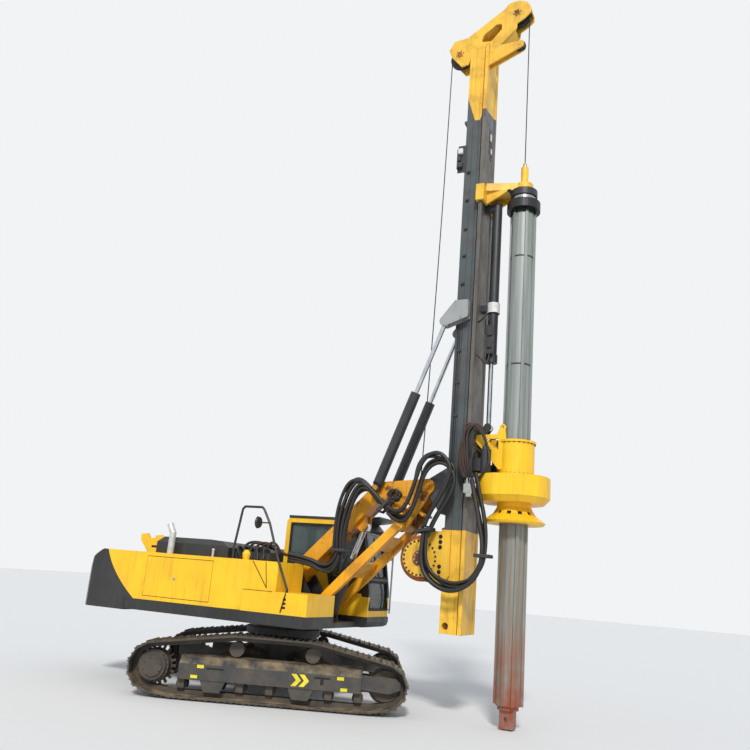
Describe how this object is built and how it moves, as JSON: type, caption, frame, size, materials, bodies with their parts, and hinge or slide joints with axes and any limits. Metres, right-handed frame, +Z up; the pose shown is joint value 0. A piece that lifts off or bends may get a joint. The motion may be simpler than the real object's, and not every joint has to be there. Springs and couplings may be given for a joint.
{
  "type": "anchor drilling rig",
  "caption": "Rotary drilling rig: telescopic kelly bar on a tall folding mast, parallelogram boom, cab and engine deck on a crawler chassis.",
  "frame": {"origin": "on the slewing axis at the ground, under the middle of the crawler", "axes": "+X the upper's heading, from the tail to the mast; +Y to the cab's side; +Z up along the slewing axis and the mast"},
  "size_m": [7.715, 4.4554, 12.495],
  "materials": {
    "frame_charcoal": "satin",
    "body_yellow": "satin",
    "track_steel": "worn",
    "cast_dark": "rough",
    "cab_panes": "clear",
    "seat_cloth": "woven",
    "trim_plastic": "matt",
    "bare_steel": "machined",
    "chrome_rod": "polished",
    "kelly_steel": "worn"
  },
  "bodies": {
    "undercarriage": {"car_body": "frame_charcoal", "track_frame_right": "frame_charcoal", "track_frame_left": "frame_charcoal", "track_right": "track_steel", "track_left": "track_steel", "sprocket_right": "track_steel", "sprocket_left": "track_steel", "rollers_right": "track_steel", "rollers_left": "track_steel"},
    "upper": {"deck": "frame_charcoal", "counterweight": "frame_charcoal", "housing_right": "body_yellow", "housing_left": "body_yellow", "tank_box": "body_yellow", "engine_block": "cast_dark", "rear_cover": "frame_charcoal", "exhaust": "cast_dark", "mast_rest": "body_yellow", "handrail": "frame_charcoal", "cab_shell": "body_yellow", "cab_glass": "cab_panes", "cab_visor": "frame_charcoal", "seat": "seat_cloth", "console": "trim_plastic", "luff_pin": "bare_steel", "valve_bank": "cast_dark"},
    "hood": {"engine_hood": "frame_charcoal"},
    "cab_door": {"cab_door": "body_yellow", "door_glass": "cab_panes"},
    "side_door_right": {"side_door_right": "body_yellow"},
    "side_door_left": {"side_door_left": "body_yellow"},
    "boom": {"boom": "body_yellow"},
    "struts": {"struts": "body_yellow"},
    "end_frame": {"end_frame": "body_yellow"},
    "luff_barrel": {"luff_barrel": "frame_charcoal"},
    "luff_rod": {"luff_rod": "chrome_rod"},
    "mast_barrel_right": {"mast_barrel_right": "frame_charcoal"},
    "mast_barrel_left": {"mast_barrel_left": "frame_charcoal"},
    "mast_rod_right": {"mast_rod_right": "chrome_rod"},
    "mast_rod_left": {"mast_rod_left": "chrome_rod"},
    "mast": {"mast_lower": "body_yellow", "mast_main": "frame_charcoal", "mast_upper": "body_yellow", "mast_head": "body_yellow", "aux_arm": "body_yellow", "crowd_barrel": "body_yellow"},
    "winch": {"winch_drum": "body_yellow"},
    "rear_sheave": {"rear_sheave": "cast_dark"},
    "front_sheave": {"front_sheave": "cast_dark"},
    "aux_sheave": {"aux_sheave": "cast_dark"},
    "rotary": {"carriage": "frame_charcoal", "rotary_housing": "body_yellow", "crowd_rod": "chrome_rod"},
    "drive_sleeve": {"drive_sleeve": "body_yellow"},
    "kelly_guide": {"kelly_guide": "body_yellow", "kelly_swivel": "body_yellow"},
    "kelly_outer": {"kelly_outer": "kelly_steel"},
    "kelly_inner": {"kelly_inner": "kelly_steel"}
  },
  "joints": [
    {"name": "slew", "type": "hinge", "parent": "undercarriage", "child": "upper", "pos_m": [0, 0, 1.033], "axis": [0, 0, 1], "continuous": true},
    {"name": "hood_hinge", "type": "hinge", "parent": "upper", "child": "hood", "pos_m": [-2.05, 0, 2.09], "axis": [0, -1, 0], "range_deg": [0, 60]},
    {"name": "cab_door_hinge", "type": "hinge", "parent": "upper", "child": "cab_door", "pos_m": [0.15, 1.35, 2.07], "axis": [0, 0, 1], "range_deg": [0, 150]},
    {"name": "side_door_right_hinge", "type": "hinge", "parent": "upper", "child": "side_door_right", "pos_m": [-1.95, -1.35, 1.68], "axis": [0, 0, -1], "range_deg": [0, 120]},
    {"name": "side_door_left_hinge", "type": "hinge", "parent": "upper", "child": "side_door_left", "pos_m": [-1.95, 1.35, 1.68], "axis": [0, 0, 1], "range_deg": [0, 120]},
    {"name": "boom_luff", "type": "hinge", "parent": "upper", "child": "boom", "pos_m": [0.2, 0, 1.9], "axis": [0, -1, 0], "range_deg": [-30, 20]},
    {"name": "strut_swing", "type": "hinge", "parent": "upper", "child": "struts", "pos_m": [0.65, 0, 1.325], "axis": [0, -1, 0], "range_deg": [-30, 20]},
    {"name": "end_frame_swing", "type": "hinge", "parent": "boom", "child": "end_frame", "pos_m": [1.65, 0, 3.35], "axis": [0, -1, 0], "range_deg": [-20, 30]},
    {"name": "luff_barrel_swing", "type": "hinge", "parent": "upper", "child": "luff_barrel", "pos_m": [0.85, 0, 1.34], "axis": [0, -1, 0], "range_deg": [-24.5, 16.4]},
    {"name": "luff_rod_slide", "type": "slide", "parent": "luff_barrel", "child": "luff_rod", "axis": [0.3323, 0, 0.9432], "range_m": [-0.43, 0.287]},
    {"name": "mast_tilt", "type": "hinge", "parent": "end_frame", "child": "mast", "pos_m": [2.5, 0, 3.42], "axis": [0, 1, 0], "range_deg": [-90, 5]},
    {"name": "mast_barrel_right_swing", "type": "hinge", "parent": "end_frame", "child": "mast_barrel_right", "pos_m": [1.65, 0, 3.35], "axis": [0, 1, 0], "range_deg": [-102.7, 5.8]},
    {"name": "mast_rod_right_slide", "type": "slide", "parent": "mast_barrel_right", "child": "mast_rod_right", "axis": [0.3452, 0, 0.9385], "range_m": [-1.087, 0.061]},
    {"name": "mast_barrel_left_swing", "type": "hinge", "parent": "end_frame", "child": "mast_barrel_left", "pos_m": [1.65, 0, 3.35], "axis": [0, 1, 0], "range_deg": [-102.7, 5.8]},
    {"name": "mast_rod_left_slide", "type": "slide", "parent": "mast_barrel_left", "child": "mast_rod_left", "axis": [0.3452, 0, 0.9385], "range_m": [-1.087, 0.061]},
    {"name": "crowd", "type": "slide", "parent": "mast", "child": "rotary", "axis": [0, 0, 1], "range_m": [-1.8, 0.85]},
    {"name": "sleeve_spin", "type": "hinge", "parent": "rotary", "child": "drive_sleeve", "pos_m": [3.85, 0, 3], "axis": [0, 0, 1], "continuous": true},
    {"name": "kelly_lift", "type": "slide", "parent": "mast", "child": "kelly_guide", "axis": [0, 0, 1], "range_m": [0, 2.1]},
    {"name": "kelly_spin", "type": "hinge", "parent": "kelly_guide", "child": "kelly_outer", "pos_m": [3.85, 0, 8.18], "axis": [0, 0, 1], "continuous": true},
    {"name": "kelly_extend", "type": "slide", "parent": "kelly_outer", "child": "kelly_inner", "axis": [0, 0, -1], "range_m": [0, 6.5]},
    {"name": "winch_spin", "type": "hinge", "parent": "mast", "child": "winch", "pos_m": [2.46, 0, 2.3], "axis": [0, 1, 0], "continuous": true},
    {"name": "rear_sheave_spin", "type": "hinge", "parent": "mast", "child": "rear_sheave", "pos_m": [2.58, 0, 11.59], "axis": [0, 1, 0], "continuous": true},
    {"name": "front_sheave_spin", "type": "hinge", "parent": "mast", "child": "front_sheave", "pos_m": [3.65, 0, 12.235], "axis": [0, 1, 0], "continuous": true},
    {"name": "aux_sheave_spin", "type": "hinge", "parent": "mast", "child": "aux_sheave", "pos_m": [3.76, -0.22, 11.42], "axis": [0, 1, 0], "continuous": true}
  ],
  "couplings": [
    {"joint": "strut_swing", "follows": "boom_luff", "ratio": 1},
    {"joint": "end_frame_swing", "follows": "boom_luff", "ratio": -1},
    {"joint": "luff_barrel_swing", "follows": "boom_luff", "ratio": 0.814},
    {"joint": "luff_rod_slide", "follows": "boom_luff", "m_per_rad": 0.818},
    {"joint": "mast_barrel_right_swing", "follows": "mast_tilt", "ratio": 1.14},
    {"joint": "mast_rod_right_slide", "follows": "mast_tilt", "m_per_rad": 0.6915},
    {"joint": "mast_barrel_left_swing", "follows": "mast_tilt", "ratio": 1.14},
    {"joint": "mast_rod_left_slide", "follows": "mast_tilt", "m_per_rad": 0.6915},
    {"joint": "sleeve_spin", "follows": "kelly_spin", "ratio": 1}
  ]
}
